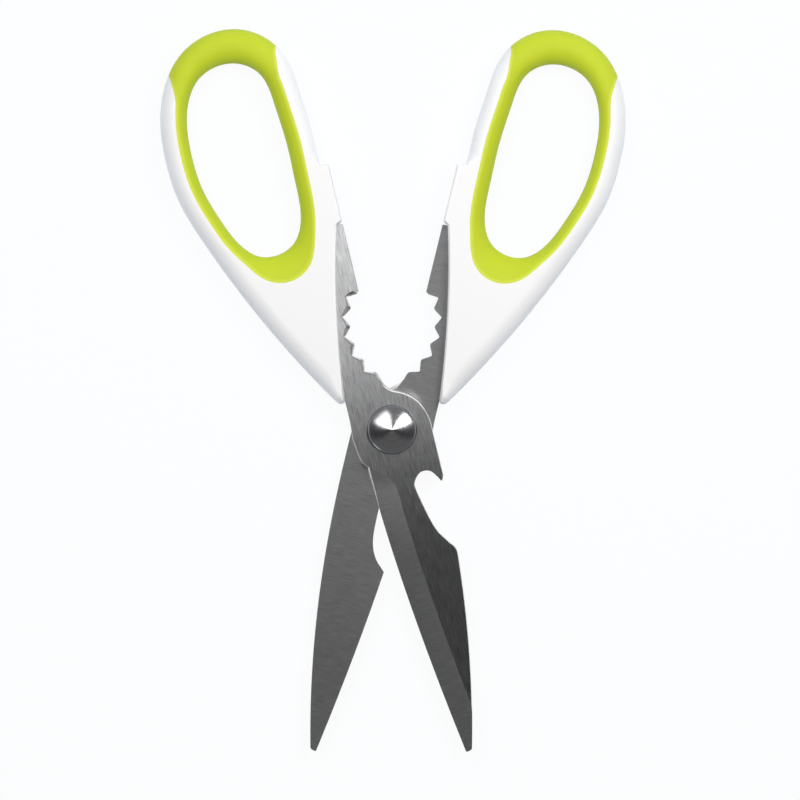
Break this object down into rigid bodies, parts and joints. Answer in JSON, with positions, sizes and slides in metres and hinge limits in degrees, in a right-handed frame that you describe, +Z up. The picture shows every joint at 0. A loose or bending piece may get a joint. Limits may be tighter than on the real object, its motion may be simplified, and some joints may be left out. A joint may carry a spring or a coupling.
{
  "type": "kitchen scissors",
  "caption": "Kitchen scissors with soft-lined finger bows, steel blades on a domed rivet, a toothed nut jaw, a bottle-opener hook and a bone notch.",
  "frame": {"origin": "on the pivot axis, on the flat rear face of the pivot button, which lies in the table plane with the undersides of both handles", "axes": "+Z up along the pivot axis, +Y from the pivot towards the handles between the two halves, +X to the right of the picture"},
  "size_m": [0.1351, 0.2095, 0.0111],
  "materials": {
    "blade_steel": "brushed stainless steel",
    "rivet_steel": "spun and polished stainless steel",
    "white_plastic": "moulded white ABS, satin gloss",
    "lime_rubber": "moulded lime soft rubber, satin"
  },
  "bodies": {
    "front_half": {"front_blade": "blade_steel", "front_handle": "white_plastic", "front_grip": "lime_rubber", "pivot_rivet": "rivet_steel", "pivot_button": "rivet_steel", "spring_washer": "blade_steel"},
    "back_half": {"back_blade": "blade_steel", "back_handle": "white_plastic", "back_grip": "lime_rubber"}
  },
  "joints": [
    {"name": "blade_pivot", "type": "hinge", "parent": "front_half", "child": "back_half", "pos_m": [0, 0, 0.0055], "axis": [0, 0, 1], "range_deg": [-58, 26.95]}
  ]
}
